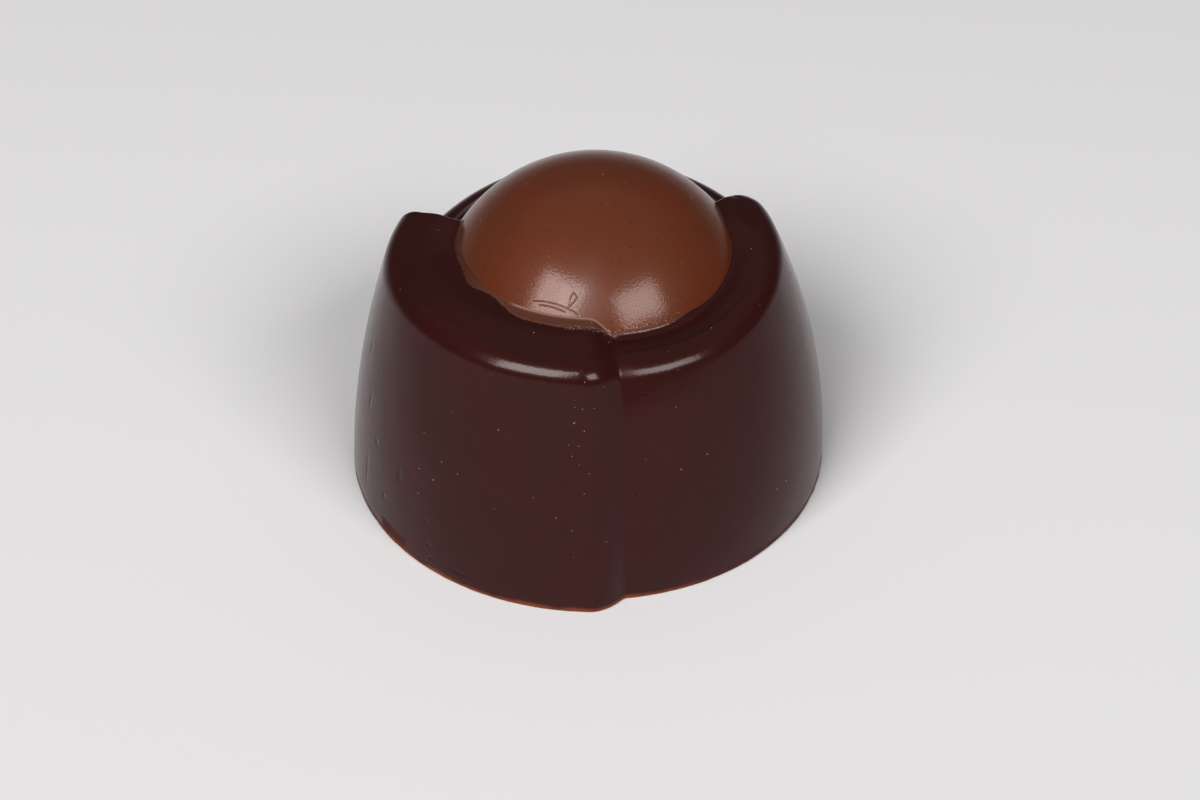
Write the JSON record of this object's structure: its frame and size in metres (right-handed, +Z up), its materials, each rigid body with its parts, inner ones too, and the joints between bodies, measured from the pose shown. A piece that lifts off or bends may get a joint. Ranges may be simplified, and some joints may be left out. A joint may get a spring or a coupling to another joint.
{
  "type": "chocolate praline",
  "caption": "Moulded round praline with overlapping dark chocolate petals wrapped round a glossy milk chocolate dome, flat underneath.",
  "frame": {"origin": "middle of the flat base, on the surface that the praline stands on", "axes": "+Z up through the middle of the dome, -Y to the front, where the seam between the two high petals shows"},
  "size_m": [0.0275, 0.0276, 0.018],
  "materials": {
    "dark_chocolate": "satin gloss dark chocolate",
    "milk_chocolate": "glossy milk chocolate"
  },
  "bodies": {
    "root": {"dark_body": "dark_chocolate", "milk_dome": "milk_chocolate"}
  },
  "joints": []
}
